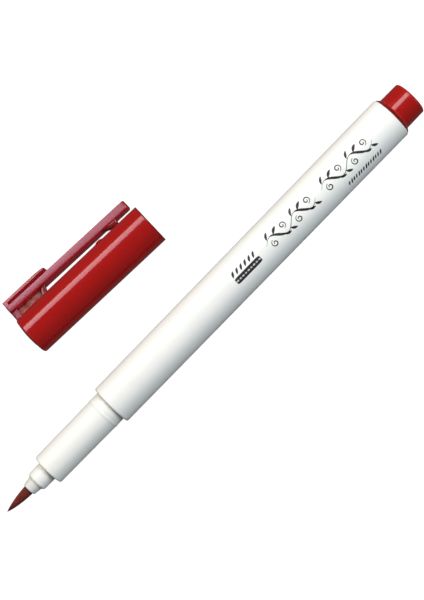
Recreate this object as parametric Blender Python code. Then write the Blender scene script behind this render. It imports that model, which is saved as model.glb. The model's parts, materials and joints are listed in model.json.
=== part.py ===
"""A brush pen lying on a table with its cap taken off and laid beside it. Metres, +Z up.

The pen lies along X, nib towards -X. Every turned piece is drawn in an axis frame: its local Z runs
along the pen (from the nib's tip to the tail) or along the cap (from the closed end to the mouth), and
an empty carries that frame into the world. In the cap's frame +X points from the axis to the clip.
"""

import math

import bmesh
import bpy
from mathutils import Matrix, Vector

MM = 0.001
GAP = 0.3 * MM  # left between pieces that touch on the real pen

# Driving dimensions: stations along the pen, from the nib's tip
PEN_LENGTH = 139.2 * MM
NIB_END = 7.2 * MM  # the nib shows up to here
NOSE_START = 9.5 * MM
SECTION_START = 13.8 * MM  # the step up from the nose
BARREL_START = 35.5 * MM  # the step that the capped pen's mouth meets
BARREL_END = 132.2 * MM
SPIGOT_END = 45.5 * MM  # the front section reaches this far into the barrel
SNAP_RING_BACK = 2.6 * MM  # from the snap ring to the barrel, and from its groove to the cap's mouth
RESERVOIR_START = 22.3 * MM
RESERVOIR_END = 126.0 * MM

# Radii along the pen
NIB_R = 1.26 * MM
NIB_CORE_R = 1.05 * MM
NIB_FULLNESS = 1.45  # 1 is a plain cone, and more makes the tip's sides convex
HOLDER_FRONT_R = 1.72 * MM
HOLDER_REAR_R = 2.05 * MM
HOLDER_BORE_R = 1.30 * MM
HOLDER_FLANGE_R = 3.2 * MM
HOLDER_SLEEVE_R = 2.4 * MM
NOSE_R = 2.70 * MM
SECTION_FRONT_R = 4.29 * MM
SECTION_REAR_R = 4.42 * MM
SNAP_RING_R = 4.55 * MM
BARREL_FRONT_R = 5.52 * MM
BARREL_REAR_R = 5.72 * MM
BARREL_BORE_R = 4.75 * MM
FILM_R = 3.45 * MM
FILM_WALL = 0.2 * MM
PLUG_R = 4.60 * MM
PLUG_FLANGE_R = 5.40 * MM

# The cap, measured from the edge of its closed end to its mouth
CAP_LENGTH = 39.1 * MM
CAP_CROWN = 0.5 * MM  # how far the closed end bulges past its edge
CAP_CLOSED_R = 5.24 * MM
CAP_MOUTH_R = 5.38 * MM
CAP_BORE_R = 4.52 * MM
CAP_END_WALL = 1.2 * MM
INNER_CAP_END = 17.1 * MM
INNER_CAP_R = 3.5 * MM
INNER_CAP_BORE_R = 2.95 * MM

# The clip. Pairs hold a height above the cap's axis or a half width, at the root and at the free end
CLIP_END = 38.0 * MM
CLIP_HINGE = 11.45 * MM  # the line where it bends, from the closed end
CLIP_SPLIT = 0.3 * MM  # the gap at that line
CLIP_OUTER = (9.14 * MM, 8.93 * MM)
CLIP_INNER = (7.52 * MM, 6.90 * MM)
CLIP_HALF_WIDTH = (1.90 * MM, 1.35 * MM)
RIM_HALF_WIDTH = (1.3 * MM, 1.3 * MM)  # the hump on the root is a rim on a narrower neck
NECK_HALF_WIDTH = (0.6 * MM, 0.6 * MM)
HUMP_TOP = 10.85 * MM
RIM_THICKNESS = 0.75 * MM
HUMP_END = 13.1 * MM
HUMP_WALL_END = 0.7 * MM  # the rim and the neck start at a wall of the rim's width
ROOT_WALL_HALF_WIDTH = (1.1 * MM, 1.1 * MM)
ROOT_WALL_END = 1.5 * MM
WEB_HALF_WIDTH = (0.25 * MM, 0.25 * MM)
BRACE_HALF_WIDTH = (0.7 * MM, 0.7 * MM)
BRACE_FOOT = (7.9 * MM, 9.7 * MM)  # where the leaning brace starts and ends along the cap, at its foot
BRACE_TOP = (9.2 * MM, 10.7 * MM)
ROOT_FOOT = 4.6 * MM  # inside the cap's wall
RIDGE = (30.2 * MM, 33.6 * MM)  # the ridge on the clip's inner side that grips a pocket
RIDGE_INNER = 5.68 * MM
RIDGE_HALF_WIDTH = (1.2 * MM, 1.1 * MM)
GRIP_BUMP = (26.4 * MM, 30.0 * MM)  # the low bump on the cap, just before the ridge
GRIP_BUMP_RISE = 0.18 * MM
GRIP_BUMP_HALF_WIDTH = (0.8 * MM, 0.8 * MM)

# How the two pieces lie
CAP_BESIDE = 24.6 * MM  # from the pen's axis to the cap's, at the middle of the cap
CAP_ALONG = 53.8 * MM  # from the nib's tip to the middle of the cap
CAP_TURN = math.radians(-2.46)
CLIP_DROOP = math.radians(22.5)  # the clip points sideways and this far below level

STEPS = 64
SMALL_STEPS = 40
NIB_RINGS = 10
FILLET_STEPS = 3


def clear_scene():
    for old in list(bpy.data.objects):
        bpy.data.objects.remove(old, do_unlink=True)


def material(name, colour, roughness):
    made = bpy.data.materials.new(name)
    made.use_nodes = True
    shader = made.node_tree.nodes["Principled BSDF"]
    shader.inputs["Base Color"].default_value = (*colour, 1.0)
    shader.inputs["Roughness"].default_value = roughness
    shader.inputs["Metallic"].default_value = 0.0
    made.diffuse_color = (*colour, 1.0)
    return made


def empty(name, matrix):
    """An axis frame that pieces are parented to."""
    made = bpy.data.objects.new(name, None)
    bpy.context.scene.collection.objects.link(made)
    made.matrix_world = matrix
    return made


def add_object(name, shape, frame, look):
    """Turns a bmesh into an object in the frame's local coordinates."""
    bmesh.ops.recalc_face_normals(shape, faces=shape.faces)
    mesh = bpy.data.meshes.new(name)
    shape.to_mesh(mesh)
    shape.free()
    mesh.materials.append(look)
    mesh.shade_smooth()
    mesh.set_sharp_from_angle(angle=math.radians(30))
    made = bpy.data.objects.new(name, mesh)
    bpy.context.scene.collection.objects.link(made)
    made.parent = frame
    return made


def rounded(corners):
    """An outline's points (z, r), from corners (z, r) or (z, r, fillet radius)."""
    points = []
    for i, corner in enumerate(corners):
        point = Vector(corner[:2])
        if len(corner) == 2:
            points.append(point)
            continue
        radius = corner[2]
        to_before = (Vector(corners[i - 1][:2]) - point).normalized()
        to_after = (Vector(corners[(i + 1) % len(corners)][:2]) - point).normalized()
        half = to_before.angle(to_after) / 2
        centre = point + (to_before + to_after).normalized() * radius / math.sin(half)
        first = point + to_before * radius / math.tan(half) - centre
        last = point + to_after * radius / math.tan(half) - centre
        for step in range(FILLET_STEPS + 1):
            points.append(centre + radius * first.slerp(last, step / FILLET_STEPS))
    return points


def turned(name, corners, frame, look, steps=STEPS):
    """A turned piece: its outline spun about local Z. An outline that meets the axis is left open there."""
    shape = bmesh.new()
    ring = [shape.verts.new((r, 0.0, z)) for z, r in rounded(corners)]
    edges = [shape.edges.new(pair) for pair in zip(ring, ring[1:])]
    if corners[0][1] > 0.0:
        edges.append(shape.edges.new((ring[-1], ring[0])))
    bmesh.ops.spin(
        shape, geom=ring + edges, cent=(0, 0, 0), axis=(0, 0, 1), angle=math.tau, steps=steps, use_merge=True
    )
    bmesh.ops.remove_doubles(shape, verts=shape.verts, dist=1e-6)
    return add_object(name, shape, frame, look)


def along_clip(pair, z):
    """A height or a half width that changes evenly from the clip's root to its free end."""
    return pair[0] + (pair[1] - pair[0]) * z / CLIP_END


def slab(name, outline, half_width, frame, look):
    """A slab across the clip: an outline of (z, x) points in its mid plane, carried out to both sides."""
    shape = bmesh.new()
    lower, upper = (
        [shape.verts.new((x, side * along_clip(half_width, z), z)) for z, x in outline] for side in (-1, 1)
    )
    shape.faces.new(lower)
    shape.faces.new(upper)
    for i, corner in enumerate(lower):
        shape.faces.new((corner, lower[i - 1], upper[i - 1], upper[i]))
    return add_object(name, shape, frame, look)


def join(base, helpers):
    """Unites hidden helper shapes with the base piece."""
    for helper in helpers:
        helper.hide_render = True
        helper.display_type = "WIRE"
        union = base.modifiers.new(helper.name, "BOOLEAN")
        union.operation = "UNION"
        union.solver = "EXACT"
        union.object = helper


def nib_outline():
    """A pointed brush tip with slightly convex sides, then its core inside the holder."""
    tip_end = NIB_END - 0.1 * MM
    core_end = RESERVOIR_START - GAP
    points = [(0.0, 0.0)]
    for i in range(1, NIB_RINGS + 1):
        t = i / NIB_RINGS
        points.append((t * tip_end, NIB_R * (1.0 - (1.0 - t) ** NIB_FULLNESS)))
    return points + [(tip_end, NIB_CORE_R), (core_end, NIB_CORE_R), (core_end, 0.0)]


def holder_outline():
    """The tapered sleeve that grips the nib, with a flange that stops behind the nose."""
    collar_end = NOSE_START - 0.1 * MM
    neck_r = HOLDER_REAR_R - 0.2 * MM
    flange_start = SECTION_START + 1.5 * MM
    flange_end = flange_start + 1.7 * MM
    rear = RESERVOIR_START - GAP
    return [
        (NIB_END, HOLDER_BORE_R),
        (NIB_END, HOLDER_FRONT_R, 0.12 * MM),
        (collar_end, HOLDER_REAR_R),
        (collar_end, neck_r),
        (flange_start, neck_r),
        (flange_start, HOLDER_FLANGE_R),
        (flange_end, HOLDER_FLANGE_R),
        (flange_end, HOLDER_SLEEVE_R),
        (rear, HOLDER_SLEEVE_R),
        (rear, HOLDER_BORE_R),
    ]


def section_outline():
    """The front section that the cap slides over: nose, seat with its snap ring, and spigot."""
    nose_bore = HOLDER_REAR_R + 0.1 * MM
    bore = FILM_R + 0.25 * MM
    ring = BARREL_START - SNAP_RING_BACK
    seat = BARREL_START + GAP
    spigot = BARREL_BORE_R - GAP
    shoulder = SECTION_START + 1.2 * MM
    return [
        (NOSE_START, nose_bore),
        (NOSE_START, nose_bore + 0.1 * MM),
        (NOSE_START + 0.5 * MM, NOSE_R - 0.06 * MM),
        (SECTION_START, NOSE_R),
        (SECTION_START, SECTION_FRONT_R, 0.25 * MM),
        (ring - 0.25 * MM, SECTION_REAR_R),
        (ring, SNAP_RING_R),
        (ring + 0.25 * MM, SECTION_REAR_R),
        (seat, SECTION_REAR_R),
        (seat, spigot),
        (SPIGOT_END, spigot, 0.3 * MM),
        (SPIGOT_END, bore),
        (shoulder, bore),
        (shoulder, nose_bore),
    ]


def barrel_outline():
    return [
        (BARREL_START, BARREL_BORE_R),
        (BARREL_START, BARREL_FRONT_R, 0.35 * MM),
        (BARREL_END, BARREL_REAR_R, 0.25 * MM),
        (BARREL_END, BARREL_BORE_R),
    ]


def plug_outline():
    """The tail plug: a flared foot on the barrel's rim, a plain end, and a hollow spigot inside."""
    foot = BARREL_END + 0.15 * MM
    spigot = BARREL_BORE_R - GAP
    spigot_start = RESERVOIR_END - 4.0 * MM
    cup = FILM_R + 0.25 * MM
    return [
        (spigot_start, cup),
        (spigot_start, spigot, 0.3 * MM),
        (foot, spigot),
        (foot, PLUG_FLANGE_R),
        (foot + 0.35 * MM, PLUG_FLANGE_R - 0.45 * MM),
        (foot + 0.9 * MM, PLUG_R + 0.03 * MM),
        (PEN_LENGTH, PLUG_R, 0.5 * MM),
        (PEN_LENGTH, 0.0),
        (PEN_LENGTH - 1.5 * MM, 0.0),
        (PEN_LENGTH - 1.5 * MM, cup - 0.6 * MM),
        (RESERVOIR_END + GAP, cup - 0.6 * MM),
        (RESERVOIR_END + GAP, cup),
    ]


def reservoir_outline():
    radius = FILM_R - FILM_WALL - 0.15 * MM
    return [(RESERVOIR_START, 0.0), (RESERVOIR_START, radius), (RESERVOIR_END, radius), (RESERVOIR_END, 0.0)]


def film_outline():
    start = RESERVOIR_START + 0.5 * MM
    end = RESERVOIR_END - 0.5 * MM
    return [(start, FILM_R - FILM_WALL), (start, FILM_R), (end, FILM_R), (end, FILM_R - FILM_WALL)]


def cap_outline():
    """The cap's wall: crowned closed end, slightly flared side, bore with a groove for the snap ring."""
    crown_r = CAP_CLOSED_R - 0.3 * MM
    crown = [(-CAP_CROWN * math.cos(math.pi / 2 * t), crown_r * t) for t in (0.0, 0.25, 0.5, 0.75)]
    ring = CAP_LENGTH - SNAP_RING_BACK
    groove = CAP_BORE_R + 0.14 * MM
    return crown + [
        (-0.1 * MM, crown_r),
        (0.2 * MM, CAP_CLOSED_R, 0.2 * MM),
        (CAP_LENGTH, CAP_MOUTH_R, 0.12 * MM),
        (CAP_LENGTH, CAP_BORE_R + 0.15 * MM),
        (CAP_LENGTH - 0.3 * MM, CAP_BORE_R),
        (ring + 0.4 * MM, CAP_BORE_R),
        (ring, groove),
        (ring - 0.4 * MM, CAP_BORE_R),
        (CAP_END_WALL, CAP_BORE_R),
        (CAP_END_WALL, 0.0),
    ]


def inner_cap_outline():
    """A blind liner that seals over the pen's nose, standing on a flange in the cap's closed end."""
    base = CAP_END_WALL + GAP
    flange_r = CAP_BORE_R - GAP
    return [
        (base, 0.0),
        (base, flange_r),
        (base + 1.0 * MM, flange_r),
        (base + 1.0 * MM, INNER_CAP_R),
        (INNER_CAP_END, INNER_CAP_R, 0.15 * MM),
        (INNER_CAP_END, INNER_CAP_BORE_R),
        (base + 1.2 * MM, INNER_CAP_BORE_R),
        (base + 1.2 * MM, 0.0),
    ]


def bar_slab(name, start, end, frame, look):
    """The clip's tapered bar between two stations."""
    outline = [
        (start, along_clip(CLIP_INNER, start)),
        (end, along_clip(CLIP_INNER, end)),
        (end, along_clip(CLIP_OUTER, end)),
        (start, along_clip(CLIP_OUTER, start)),
    ]
    return slab(name, outline, CLIP_HALF_WIDTH, frame, look)


def hump_slabs(name, start, end, frame, look):
    """The rim and the neck of the hump on the clip's outer face, between two stations."""
    foot = along_clip(CLIP_OUTER, 0.0) - (CLIP_OUTER[0] - CLIP_INNER[0]) / 2
    rim_foot = HUMP_TOP - RIM_THICKNESS
    neck_top = HUMP_TOP - RIM_THICKNESS / 2
    rim = [(start, rim_foot), (end, rim_foot), (end, HUMP_TOP), (start, HUMP_TOP)]
    neck = [(start, foot), (end, foot), (end, neck_top), (start, neck_top)]
    return [
        slab(name + "_rim", rim, RIM_HALF_WIDTH, frame, look),
        slab(name + "_neck", neck, NECK_HALF_WIDTH, frame, look),
    ]


def root_slabs(frame, look):
    """What carries the clip on the cap: an end wall, a thin web and a brace that leans towards the mouth."""
    middle = (CLIP_OUTER[0] + CLIP_INNER[0]) / 2
    inner = CLIP_INNER[0] + 0.4 * MM
    web_start = ROOT_WALL_END / 2
    wall = [(0.0, ROOT_FOOT), (ROOT_WALL_END, ROOT_FOOT), (ROOT_WALL_END, middle), (0.0, middle)]
    hump_wall_top = HUMP_TOP - 0.05 * MM
    hump_wall = [
        (0.02 * MM, middle),
        (HUMP_WALL_END, middle),
        (HUMP_WALL_END, hump_wall_top),
        (0.02 * MM, hump_wall_top),
    ]
    brace = [
        (BRACE_FOOT[0], ROOT_FOOT),
        (BRACE_FOOT[1], ROOT_FOOT),
        (BRACE_TOP[1], inner),
        (BRACE_TOP[0], inner),
    ]
    web_end = (BRACE_FOOT[0] + BRACE_FOOT[1]) / 2
    web_top_end = (BRACE_TOP[0] + BRACE_TOP[1]) / 2
    web_top = inner - 0.1 * MM
    web = [(web_start, ROOT_FOOT), (web_end, ROOT_FOOT), (web_top_end, web_top), (web_start, web_top)]
    return [
        slab("root_wall", wall, ROOT_WALL_HALF_WIDTH, frame, look),
        slab("hump_wall", hump_wall, RIM_HALF_WIDTH, frame, look),
        slab("root_brace", brace, BRACE_HALF_WIDTH, frame, look),
        slab("root_web", web, WEB_HALF_WIDTH, frame, look),
    ]


def grip_bump_slab(frame, look):
    """The low bump on the cap's side that faces the clip."""
    foot = CAP_CLOSED_R - 0.2 * MM
    top = CAP_MOUTH_R + GRIP_BUMP_RISE
    bump = [
        (GRIP_BUMP[0], foot),
        (GRIP_BUMP[1], foot),
        (GRIP_BUMP[1] - 1.0 * MM, top),
        (GRIP_BUMP[0] + 1.0 * MM, top),
    ]
    return slab("grip_bump", bump, GRIP_BUMP_HALF_WIDTH, frame, look)


def make_cap_shell(frame, look):
    """The cap's wall and the root of its clip, one moulding."""
    shell = turned("cap_shell", cap_outline(), frame, look)
    split = CLIP_HINGE - CLIP_SPLIT / 2
    helpers = root_slabs(frame, look)
    helpers.append(bar_slab("root_bar", 0.0, split, frame, look))
    helpers += hump_slabs("root_hump", HUMP_WALL_END / 2, split - 0.1 * MM, frame, look)
    helpers.append(grip_bump_slab(frame, look))
    join(shell, helpers)
    return shell


def make_clip(frame, look):
    """The clip beyond the line where it bends."""
    start = CLIP_HINGE + CLIP_SPLIT / 2
    clip = bar_slab("clip", start, CLIP_END, frame, look)
    ridge_root = along_clip(CLIP_INNER, RIDGE[0])
    ridge_top = ridge_root + 0.3 * MM
    ridge = [
        (RIDGE[0], ridge_root),
        (RIDGE[0] + 1.2 * MM, RIDGE_INNER),
        (RIDGE[1], RIDGE_INNER),
        (RIDGE[1], ridge_top),
        (RIDGE[0], ridge_top),
    ]
    helpers = hump_slabs("clip_hump", start + 0.2 * MM, HUMP_END, frame, look)
    helpers.append(slab("clip_ridge", ridge, RIDGE_HALF_WIDTH, frame, look))
    join(clip, helpers)
    return clip


def on_joint(piece, station, height=0.0):
    """Moves a piece's origin to its joint's axis, leaving its shape where it is."""
    offset = Matrix.Translation((-height, 0.0, -station))
    piece.data.transform(offset)
    piece.location = (height, 0.0, station)
    for modifier in piece.modifiers:
        modifier.object.data.transform(offset)
        modifier.object.location = piece.location


def main():
    clear_scene()
    white = material("white_barrel", (0.80, 0.80, 0.77), 0.38)
    white_holder = material("white_holder", (0.74, 0.74, 0.72), 0.45)
    red = material("red_cap", (0.42, 0.012, 0.012), 0.22)
    red_plug = material("red_plug", (0.42, 0.012, 0.012), 0.24)
    nib_red = material("nib_fibre", (0.13, 0.018, 0.014), 0.75)
    ink = material("inked_fibre", (0.30, 0.02, 0.03), 0.9)
    clear_film = material("film", (0.85, 0.85, 0.85), 0.2)
    liner = material("liner", (0.72, 0.72, 0.70), 0.5)

    hump_reach = HUMP_TOP * math.cos(CLIP_DROOP) + RIM_HALF_WIDTH[0] * math.sin(CLIP_DROOP)
    cap_rise = -CAP_LENGTH / 2 * math.sin(CAP_TURN)
    far_side = CAP_BESIDE + cap_rise + hump_reach
    pen_y = (BARREL_REAR_R - far_side) / 2
    tip_x = -PEN_LENGTH / 2

    along_x = Matrix.Rotation(math.pi / 2, 4, "Y")
    pen_axis = empty("pen_axis", Matrix.Translation((tip_x, pen_y, BARREL_REAR_R)) @ along_x)
    cap_middle = Matrix.Translation((tip_x + CAP_ALONG, pen_y + CAP_BESIDE, CAP_MOUTH_R))
    cap_frame = cap_middle @ Matrix.Rotation(CAP_TURN, 4, "Z") @ along_x
    cap_frame @= Matrix.Rotation(math.pi / 2 - CLIP_DROOP, 4, "Z")
    cap_axis = empty("cap_axis", cap_frame @ Matrix.Translation((0.0, 0.0, -CAP_LENGTH / 2)))

    turned("barrel", barrel_outline(), pen_axis, white)
    turned("front_section", section_outline(), pen_axis, white)
    turned("nib_holder", holder_outline(), pen_axis, white_holder, SMALL_STEPS)
    turned("ink_reservoir", reservoir_outline(), pen_axis, ink, SMALL_STEPS)
    turned("reservoir_film", film_outline(), pen_axis, clear_film, SMALL_STEPS)
    turned("tail_plug", plug_outline(), pen_axis, red_plug)
    nib = turned("brush_nib", nib_outline(), pen_axis, nib_red, SMALL_STEPS)
    on_joint(nib, NIB_END)

    make_cap_shell(cap_axis, red)
    turned("inner_cap", inner_cap_outline(), cap_axis, liner)
    clip = make_clip(cap_axis, red)
    hinge_height = (along_clip(CLIP_OUTER, CLIP_HINGE) + along_clip(CLIP_INNER, CLIP_HINGE)) / 2
    on_joint(clip, CLIP_HINGE, hinge_height)


main()
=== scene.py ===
"""The looks of the brush pen: white mouldings, a pointed fibre nib and a glossy red cap with its clip.

Metres, in the part's own frame. Turned pieces are drawn in an axis frame, whose local Z is the station
along the pen (from the nib's tip) or along the cap (from its closed end), and whose local X points
from the pen towards the cap, or from the cap's axis to its clip.
"""

import json
import math

import bmesh
import bpy
from mathutils import Matrix, Vector


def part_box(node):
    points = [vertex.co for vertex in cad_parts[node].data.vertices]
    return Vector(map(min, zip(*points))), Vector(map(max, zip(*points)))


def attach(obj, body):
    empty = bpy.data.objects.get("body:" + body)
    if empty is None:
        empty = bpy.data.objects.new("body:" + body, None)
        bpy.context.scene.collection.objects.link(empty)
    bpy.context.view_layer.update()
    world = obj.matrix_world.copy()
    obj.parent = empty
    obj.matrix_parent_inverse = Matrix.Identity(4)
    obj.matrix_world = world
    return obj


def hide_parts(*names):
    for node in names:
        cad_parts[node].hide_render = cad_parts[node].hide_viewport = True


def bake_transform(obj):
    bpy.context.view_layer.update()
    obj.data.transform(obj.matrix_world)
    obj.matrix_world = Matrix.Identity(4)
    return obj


MM = 0.001

# Stations along the pen that no box of the frame gives
SECTION_START = 13.8 * MM
SNAP_RING_BACK = 2.6 * MM
FEED_END = 22.0 * MM  # of the holder and the nib's core, just before the reservoir

# The nib. Its outline is r = NIB_R * (1 - (1 - s) ** NIB_FULLNESS) ** NIB_BLUNTNESS, for s from 0 to 1
NIB_TIP = -0.35 * MM  # the drawn tip reaches this far past the CAD's
NIB_R = 1.28 * MM
NIB_CORE_R = 1.05 * MM
NIB_FULLNESS = 1.75
NIB_BLUNTNESS = 0.82

# Radii along the pen
HOLDER_FRONT_R = 1.72 * MM
HOLDER_REAR_R = 2.05 * MM
HOLDER_FLANGE_R = 3.2 * MM
HOLDER_SLEEVE_R = 2.4 * MM
HOLDER_BORE_R = 1.30 * MM
NOSE_R = 2.70 * MM
SECTION_FRONT_R = 4.29 * MM
SECTION_REAR_R = 4.42 * MM
SNAP_RING_R = 4.50 * MM
SPIGOT_R = 4.45 * MM
SECTION_BORE_R = 3.70 * MM
BARREL_FRONT_R = 5.52 * MM
BARREL_BORE_R = 4.75 * MM
PLUG_R = 4.60 * MM
PLUG_FLANGE_R = 5.50 * MM
PLUG_WALL = 0.6 * MM

# The cap
CAP_START = -0.4 * MM  # of its side; the crown stands out past it
CAP_LENGTH = 39.3 * MM
CAP_CROWN = 0.52 * MM
CAP_CLOSED_R = 5.24 * MM
CAP_MOUTH_R = 5.38 * MM
CAP_BORE_R = 4.52 * MM
CAP_END_WALL = 1.2 * MM  # the bore starts here

# The clip: stations along the cap and heights above its axis. A pair is a start and an end, or a value at
# the clip's root and one at its free end
CLIP_START = -0.3 * MM
CLIP_END = 38.25 * MM
CLIP_HINGE = 11.45 * MM
CLIP_OUTER = (9.30 * MM, 9.08 * MM)
CLIP_INNER = (7.52 * MM, 6.90 * MM)
CLIP_HALF_WIDTH = (1.90 * MM, 1.35 * MM)
CLIP_EDGE = 0.16 * MM
CLIP_END_ROUNDING = 0.45 * MM
CLIP_TAPER = 0.11  # how much narrower the strip is at its inner face
RIM_HALF_WIDTH = 1.24 * MM
NECK_HALF_WIDTH = 0.6 * MM
HUMP_TOP = 11.09 * MM
RIM_THICKNESS = 0.70 * MM
HUMP_END = 13.2 * MM
HUMP_FALL = (3.3 * MM, 0.55 * MM)  # how far before its end its top starts to fall, and by how much
HUMP_ROUNDING = (0.10 * MM, 0.55 * MM)  # at its start and its end
HUMP_WALL_END = 0.7 * MM  # up to here the neck is as wide as the rim
ROOT_FOOT = 4.9 * MM  # inside the cap's wall
ROOT_WALL_END = 1.5 * MM
ROOT_WALL_HALF_WIDTH = 1.1 * MM
WEB_HALF_WIDTH = 0.25 * MM
WEB_OFFSET = -0.75 * MM  # sideways, from the clip's middle plane
BRACE_HALF_WIDTH = 0.5 * MM
BRACE_FOOT = (7.9 * MM, 9.7 * MM)
BRACE_TOP = (9.3 * MM, 10.45 * MM)
RIDGE = (29.0 * MM, 33.9 * MM)
RIDGE_CREST = 0.80  # of its length
RIDGE_INNER = 5.68 * MM
RIDGE_HALF_WIDTH = 0.85 * MM
GRIP_BUMP = (25.3 * MM, 28.8 * MM)
GRIP_BUMP_RISE = 0.95 * MM
GRIP_BUMP_HALF_WIDTH = 0.8 * MM

# Mesh fineness
AROUND = 144
FILLET_STEPS = 5
STRETCH = 1.5 * MM  # the longest stretch of an outline without a point
WEAR_REACH = 0.25 * MM  # how far edge wear reaches from a rounded edge

# The view: straight down, turned so that the pen lies along the picture's diagonal
CAMERA_HEIGHT = 0.42  # above the pen's axis
CAMERA_TURN = math.radians(-45.79)
VIEW_HEIGHT = 144.5 * MM
SENSOR = 36.0
AIM_ALONG = 1.0 * MM  # past the pen's middle, towards its tail
AIM_BESIDE = 0.24 * MM  # from its axis, towards the cap

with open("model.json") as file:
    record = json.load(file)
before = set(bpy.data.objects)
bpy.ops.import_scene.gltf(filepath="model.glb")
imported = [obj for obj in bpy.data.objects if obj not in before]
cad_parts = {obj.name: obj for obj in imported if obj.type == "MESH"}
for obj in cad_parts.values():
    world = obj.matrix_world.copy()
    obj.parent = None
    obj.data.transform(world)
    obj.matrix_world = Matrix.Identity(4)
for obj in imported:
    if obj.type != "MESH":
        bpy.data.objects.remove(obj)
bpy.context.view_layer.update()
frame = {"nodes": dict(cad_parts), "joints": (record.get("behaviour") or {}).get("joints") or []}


# ---------------------------------------------------------------- axis frames


def joint(name):
    return next(item for item in frame["joints"] if item["name"] == name)


def axis_frame(out, side, along, origin):
    made = Matrix.Identity(4)
    for column, vector in enumerate((out, side, along, origin)):
        for row in range(3):
            made[row][column] = vector[row]
    return made


def pen_frame():
    low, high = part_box("barrel")
    tip = Vector((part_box("brush_nib")[0].x, (low.y + high.y) / 2, (low.z + high.z) / 2))
    return axis_frame((0, 1, 0), (0, 0, 1), (1, 0, 0), tip)


def cap_frame():
    """Found from the clip's hinge, which lies across the clip's middle plane, CLIP_HINGE along the cap."""
    along = -Vector(joint("cap_slide")["axis"]).normalized()
    side = Vector(joint("clip_flex")["axis"]).normalized()
    out = side.cross(along).normalized()
    hinge = Vector(joint("clip_flex")["pos_m"])
    low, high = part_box("inner_cap")
    height = (hinge.z - (low.z + high.z) / 2) / out.z
    return axis_frame(out, side, along, hinge - out * height - along * CLIP_HINGE)


PEN = pen_frame()
CAP = cap_frame()


def station(node, end):
    """How far from the nib's tip a node starts (0) or ends (1)."""
    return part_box(node)[end].x - PEN.translation.x


NIB_END = joint("nib_flex")["pos_m"][0] - PEN.translation.x
NOSE_START = station("front_section", 0)
SPIGOT_END = station("front_section", 1)
BARREL_START = station("barrel", 0)
BARREL_END = station("barrel", 1)
PLUG_START = station("tail_plug", 0)
PEN_LENGTH = station("tail_plug", 1)
BARREL_REAR_R = (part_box("barrel")[1].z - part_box("barrel")[0].z) / 2


# ---------------------------------------------------------------- materials

WHITE = (0.80, 0.80, 0.785)
RED = (0.315, 0.0052, 0.0044)
RED_TINT = (0.297, 0.0048, 0.0044)
# painted shade: the colour of the dark rings laid on the cap's mouth and the plug's foot
PAINTED_SHADE_RED = (0.05, 0.003, 0.004)
POLISHED_GRAIN = 0.0006 * MM
GLOSSY_GRAIN = 0.0010 * MM
PAINTED_LIGHT_DEPTH = 0.14 * MM  # how far the painted light on the clip's inner face reaches up its sides
RING_BLUR = 0.08 * MM


class Look:
    """A Principled material and short ways to add nodes to it."""

    def __init__(self, name, colour, roughness, on_cad_node=False):
        self.material = bpy.data.materials.new(name)
        self.material.use_nodes = True
        self.tree = self.material.node_tree
        self.shader = self.tree.nodes["Principled BSDF"]
        self.shader.inputs["Base Color"].default_value = (*colour, 1.0)
        self.shader.inputs["Roughness"].default_value = roughness
        self.normal = None
        if on_cad_node:
            self.place = self.add("ShaderNodeTexCoord").outputs["Object"]
        else:
            self.place = self.attribute("place").outputs["Vector"]

    def add(self, kind, **settings):
        node = self.tree.nodes.new(kind)
        for name, value in settings.items():
            setattr(node, name, value)
        return node

    def link(self, source, target):
        self.tree.links.new(source, target)

    def attribute(self, name):
        return self.add("ShaderNodeAttribute", attribute_name=name)

    def noise(self, scale, stretch=(1.0, 1.0, 1.0), detail=2.0, distortion=0.0):
        """Noise with about this many features to the metre, drawn out along an axis of low stretch."""
        mapping = self.add("ShaderNodeMapping")
        mapping.inputs["Scale"].default_value = stretch
        self.link(self.place, mapping.inputs["Vector"])
        noise = self.add("ShaderNodeTexNoise")
        noise.inputs["Scale"].default_value = scale
        noise.inputs["Detail"].default_value = detail
        noise.inputs["Distortion"].default_value = distortion
        self.link(mapping.outputs["Vector"], noise.inputs["Vector"])
        return noise.outputs["Fac"]

    def ranged(self, value, low, high, to_low=0.0, to_high=1.0):
        node = self.add("ShaderNodeMapRange", clamp=True)
        self.link(value, node.inputs["Value"])
        numbers = {"From Min": low, "From Max": high, "To Min": to_low, "To Max": to_high}
        for socket, number in numbers.items():
            node.inputs[socket].default_value = number
        return node.outputs["Result"]

    def maths(self, operation, first, second):
        node = self.add("ShaderNodeMath", operation=operation)
        for socket, value in zip(node.inputs, (first, second)):
            if isinstance(value, (int, float)):
                socket.default_value = value
            else:
                self.link(value, socket)
        return node.outputs["Value"]

    def mix(self, share, first, second):
        """Mixes two colours, each a triple or a socket."""
        node = self.add("ShaderNodeMix", data_type="RGBA")
        self.link(share, node.inputs["Factor"])
        for name, value in (("A", first), ("B", second)):
            socket = next(item for item in node.inputs if item.name == name and item.type == "RGBA")
            if isinstance(value, tuple):
                socket.default_value = (*value, 1.0)
            else:
                self.link(value, socket)
        return next(item for item in node.outputs if item.type == "RGBA")

    def bump(self, height, depth):
        """Adds relief this many metres deep to what is there already."""
        node = self.add("ShaderNodeBump")
        node.inputs["Strength"].default_value = 1.0
        node.inputs["Distance"].default_value = depth
        self.link(height, node.inputs["Height"])
        if self.normal:
            self.link(self.normal, node.inputs["Normal"])
        self.normal = node.outputs["Normal"]
        self.link(self.normal, self.shader.inputs["Normal"])

    def place_part(self, axis):
        """One coordinate of the place: "X", "Y" or "Z"."""
        parts = self.add("ShaderNodeSeparateXYZ")
        self.link(self.place, parts.inputs["Vector"])
        return parts.outputs[axis]

    def colour(self, socket):
        self.link(socket, self.shader.inputs["Base Color"])

    def overlay(self, share, colour):
        """Lays a colour over the one that is there, where share is 1."""
        self.colour(self.mix(share, self.shader.inputs["Base Color"].links[0].from_socket, colour))

    def roughness(self, socket):
        self.link(socket, self.shader.inputs["Roughness"])


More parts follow.
